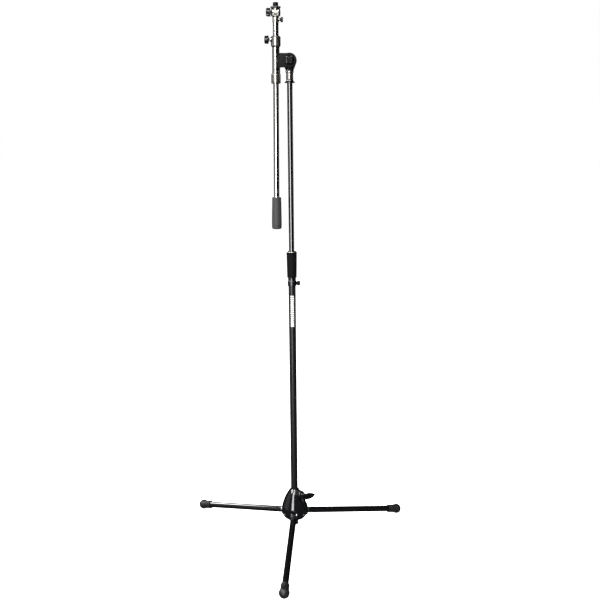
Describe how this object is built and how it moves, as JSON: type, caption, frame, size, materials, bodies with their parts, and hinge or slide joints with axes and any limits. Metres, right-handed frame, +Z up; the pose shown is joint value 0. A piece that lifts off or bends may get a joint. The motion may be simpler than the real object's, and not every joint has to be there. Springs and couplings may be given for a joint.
{
  "type": "boom microphone stand",
  "caption": "Floor stand for a microphone: three folding legs on a cast hub, a telescoping mast, and a sliding boom on a friction swivel.",
  "frame": {"origin": "on the floor, at the foot of the mast's axis", "axes": "+Z up along the mast; +X from the boom towards the mast; -Y is the side of the front leg and of the swivel's knob"},
  "size_m": [0.6925, 0.6287, 1.6466],
  "materials": {
    "hub": "gloss black enamel on a zinc casting",
    "satin_tube": "satin black powder coat on steel tube",
    "gloss_tube": "gloss black lacquer on steel tube",
    "leg_tube": "gloss black lacquer on steel tube",
    "boom_metal": "bright nickel plate on steel tube",
    "collar_metal": "satin nickel plate, turned",
    "clutch_metal": "black nickel plate, turned",
    "flange_metal": "gloss black nickel plate, turned",
    "stud_metal": "black zinc plate, turned",
    "zinc_black": "black painted steel",
    "knuckle": "bright die-cast",
    "casting": "matt black powder coat on a zinc casting",
    "steel": "bright zinc plate",
    "brass": "turned",
    "nylon": "moulded nylon",
    "knob": "gloss black moulded nylon",
    "grip_rubber": "dark grey moulded rubber",
    "foot_rubber": "black moulded rubber"
  },
  "bodies": {
    "hub": {"hub_housing": "hub", "guide_bush": "nylon", "clamp_pad": "nylon", "clamp_insert": "brass", "leg_pivot_pins": "steel"},
    "hub_clamp": {"wing_screw": "steel", "wing_handle": "knob"},
    "leg_front": {"leg_front_knuckle": "knuckle", "leg_front_tube": "leg_tube", "leg_front_foot": "foot_rubber"},
    "leg_right": {"leg_right_knuckle": "knuckle", "leg_right_tube": "leg_tube", "leg_right_foot": "foot_rubber"},
    "leg_left": {"leg_left_knuckle": "knuckle", "leg_left_tube": "leg_tube", "leg_left_foot": "foot_rubber"},
    "lower_mast": {"mast_end_collar": "zinc_black", "lower_tube": "satin_tube", "clutch_body": "clutch_metal", "clutch_collet": "nylon"},
    "clutch": {"clutch_nut": "steel", "clutch_grip": "grip_rubber"},
    "collar_screw": {"collar_thumb_screw": "knob"},
    "upper_mast": {"upper_tube": "gloss_tube", "slide_bush": "nylon", "mast_top_plug": "steel"},
    "mast_lock": {"mast_lock_flange": "flange_metal"},
    "swivel": {"swivel_stem": "flange_metal", "swivel_base": "casting", "friction_disc": "nylon", "tension_bolt": "steel"},
    "swivel_knob": {"tension_knob": "knob", "tension_knob_insert": "brass"},
    "boom_holder": {"boom_yoke": "casting", "boom_sleeve": "boom_metal", "sleeve_liners": "nylon", "sleeve_lock_collar": "collar_metal", "sleeve_lock_insert": "brass", "boom_clamp_pad": "nylon", "sleeve_end_collar": "collar_metal"},
    "boom_lock": {"boom_lock_screw": "steel", "boom_lock_knob": "knob"},
    "boom": {"boom_tube": "boom_metal", "boom_weight": "steel", "boom_grip": "grip_rubber", "boom_end_collar": "collar_metal", "boom_end_liner": "nylon"},
    "end_lock": {"end_lock_screw": "steel", "end_lock_knob": "knob"},
    "extension": {"extension_tube": "boom_metal", "extension_bush": "nylon", "head_fork": "collar_metal", "tilt_bolt": "steel"},
    "head": {"head_tongue": "collar_metal", "mic_stud": "stud_metal"},
    "head_knob": {"tilt_knob": "knob"},
    "clip_nut": {"stud_flange_nut": "stud_metal"}
  },
  "joints": [
    {"name": "mast_lift", "type": "slide", "parent": "hub", "child": "lower_mast", "axis": [0, 0, 1], "range_m": [0, 0.01525]},
    {"name": "leg_fold_front", "type": "hinge", "parent": "hub", "child": "leg_front", "pos_m": [-0.00195, -0.02593, 0.084], "axis": [0.9972, -0.075, 0], "range_deg": [0, 79.06]},
    {"name": "leg_fold_right", "type": "hinge", "parent": "hub", "child": "leg_right", "pos_m": [0.02343, 0.01128, 0.084], "axis": [-0.4337, 0.9011, 0], "range_deg": [0, 79.06]},
    {"name": "leg_fold_left", "type": "hinge", "parent": "hub", "child": "leg_left", "pos_m": [-0.02148, 0.01465, 0.084], "axis": [-0.5635, -0.8261, 0], "range_deg": [0, 79.06]},
    {"name": "hub_clamp_turn", "type": "hinge", "parent": "hub", "child": "hub_clamp", "pos_m": [0, 0, 0.146], "axis": [0.7002, -0.7002, 0.1392], "range_deg": [0, 360]},
    {"name": "clutch_turn", "type": "hinge", "parent": "lower_mast", "child": "clutch", "pos_m": [0, 0, 0.88], "axis": [0, 0, 1], "range_deg": [0, 180]},
    {"name": "collar_screw_turn", "type": "hinge", "parent": "lower_mast", "child": "collar_screw", "pos_m": [0, 0, 0.828], "axis": [1, 0, 0], "range_deg": [0, 360]},
    {"name": "height_slide", "type": "slide", "parent": "lower_mast", "child": "upper_mast", "axis": [0, 0, 1], "range_m": [-0.49, 0.11]},
    {"name": "mast_lock_turn", "type": "hinge", "parent": "upper_mast", "child": "mast_lock", "pos_m": [0, 0, 1.424], "axis": [0, 0, 1], "range_deg": [0, 360]},
    {"name": "swivel_turn", "type": "hinge", "parent": "upper_mast", "child": "swivel", "pos_m": [0, 0, 1.44], "axis": [0, 0, 1], "range_deg": [-180, 180]},
    {"name": "boom_tilt", "type": "hinge", "parent": "swivel", "child": "boom_holder", "pos_m": [0, 0, 1.485], "axis": [0, 1, 0], "range_deg": [-0.5, 179.5]},
    {"name": "tension_knob_turn", "type": "hinge", "parent": "swivel", "child": "swivel_knob", "pos_m": [0, -0.02, 1.485], "axis": [0, 1, 0], "range_deg": [0, 360]},
    {"name": "boom_slide", "type": "slide", "parent": "boom_holder", "child": "boom", "axis": [0.0087, 0, 1], "range_m": [-0.036, 0.328]},
    {"name": "boom_lock_turn", "type": "hinge", "parent": "boom_holder", "child": "boom_lock", "pos_m": [-0.03899, 0, 1.54334], "axis": [-1, 0, 0.0087], "range_deg": [0, 360]},
    {"name": "extension_slide", "type": "slide", "parent": "boom", "child": "extension", "axis": [0.0087, 0, 1], "range_m": [0, 0.25]},
    {"name": "end_lock_turn", "type": "hinge", "parent": "boom", "child": "end_lock", "pos_m": [-0.03851, 0, 1.59884], "axis": [1, 0, -0.0087], "range_deg": [0, 360]},
    {"name": "head_tilt", "type": "hinge", "parent": "extension", "child": "head", "pos_m": [-0.03833, 0, 1.61884], "axis": [1, 0, -0.0087], "range_deg": [-90, 90]},
    {"name": "tilt_knob_turn", "type": "hinge", "parent": "extension", "child": "head_knob", "pos_m": [-0.03833, 0, 1.61884], "axis": [-1, 0, 0.0087], "range_deg": [0, 360]},
    {"name": "clip_nut_turn", "type": "hinge", "parent": "head", "child": "clip_nut", "pos_m": [-0.03821, 0, 1.63254], "axis": [0.0087, 0, 1], "range_deg": [0, 360]}
  ],
  "couplings": [
    {"joint": "leg_fold_front", "follows": "mast_lift", "rad_per_m": 90.331},
    {"joint": "leg_fold_right", "follows": "mast_lift", "rad_per_m": 90.331},
    {"joint": "leg_fold_left", "follows": "mast_lift", "rad_per_m": 90.331}
  ]
}
